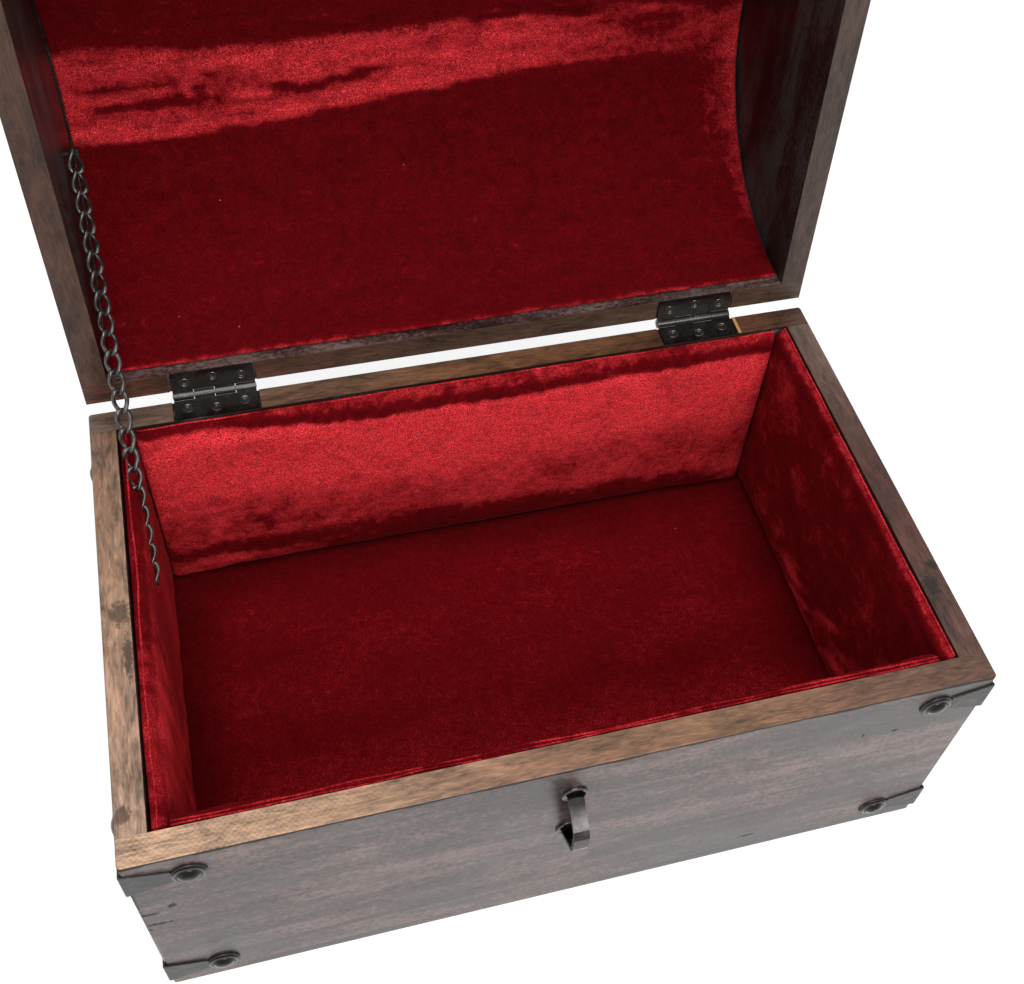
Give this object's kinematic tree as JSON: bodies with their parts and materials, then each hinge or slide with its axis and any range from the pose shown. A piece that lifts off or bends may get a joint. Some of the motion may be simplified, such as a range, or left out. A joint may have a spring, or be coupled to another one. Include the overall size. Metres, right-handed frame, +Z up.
{
  "type": "treasure chest",
  "caption": "Wooden keepsake chest with a half-round hinged lid, padded velvet lining, iron corner brackets, a stay chain and a hasp that folds over a staple",
  "frame": {"origin": "middle of the flat underside of the base", "axes": "+Z up; the front with the staple faces -Y and the lid opens towards +Y; left seen from the front is -X"},
  "size_m": [0.3868, 0.3801, 0.3837],
  "materials": {
    "stained_wood": "dark stained hardwood under a thin satin lacquer, worn paler on the rims",
    "red_velvet": "crushed dark red velvet over padding",
    "black_iron": "hammered iron with a black satin finish",
    "blackened_steel": "blackened sheet steel with a slight gloss",
    "dark_chain_wire": "oxidised dark bronze brown steel wire"
  },
  "bodies": {
    "base": {"base_front_board": "stained_wood", "base_rear_board": "stained_wood", "base_left_board": "stained_wood", "base_right_board": "stained_wood", "base_bottom_board": "stained_wood", "floor_pad": "red_velvet", "front_pad": "red_velvet", "rear_pad": "red_velvet", "left_pad": "red_velvet", "right_pad": "red_velvet", "top_corner_brackets": "black_iron", "bottom_corner_brackets": "black_iron", "base_bracket_nails": "black_iron", "hasp_staple": "black_iron", "staple_washers": "black_iron", "left_hinge_base_leaf": "blackened_steel", "right_hinge_base_leaf": "blackened_steel", "left_hinge_pin": "blackened_steel", "right_hinge_pin": "blackened_steel", "base_hinge_screws": "blackened_steel", "chain_base_nail": "dark_chain_wire", "stay_chain": "dark_chain_wire"},
    "lid": {"lid_front_rail": "stained_wood", "lid_rear_rail": "stained_wood", "lid_stave_1": "stained_wood", "lid_stave_2": "stained_wood", "lid_stave_3": "stained_wood", "lid_stave_4": "stained_wood", "lid_stave_5": "stained_wood", "lid_stave_6": "stained_wood", "lid_stave_7": "stained_wood", "lid_left_end": "stained_wood", "lid_right_end": "stained_wood", "lid_lining": "red_velvet", "left_hinge_lid_leaf": "blackened_steel", "right_hinge_lid_leaf": "blackened_steel", "lid_hinge_screws": "blackened_steel", "chain_lid_nail": "dark_chain_wire", "hasp_plate": "black_iron", "hasp_plate_nails": "black_iron", "hasp_pin": "black_iron"},
    "hasp": {"hasp_strap": "black_iron"}
  },
  "joints": [
    {"name": "lid_hinge", "type": "hinge", "parent": "base", "child": "lid", "pos_m": [0, 0.12005, 0.1427], "axis": [1, 0, 0], "range_deg": [0, 94.5], "deforming": ["stay_chain"]},
    {"name": "hasp_hinge", "type": "hinge", "parent": "lid", "child": "hasp", "pos_m": [-0.0036, 0.14706, 0.38142], "axis": [1, 0, 0], "range_deg": [0, 190.28]}
  ]
}
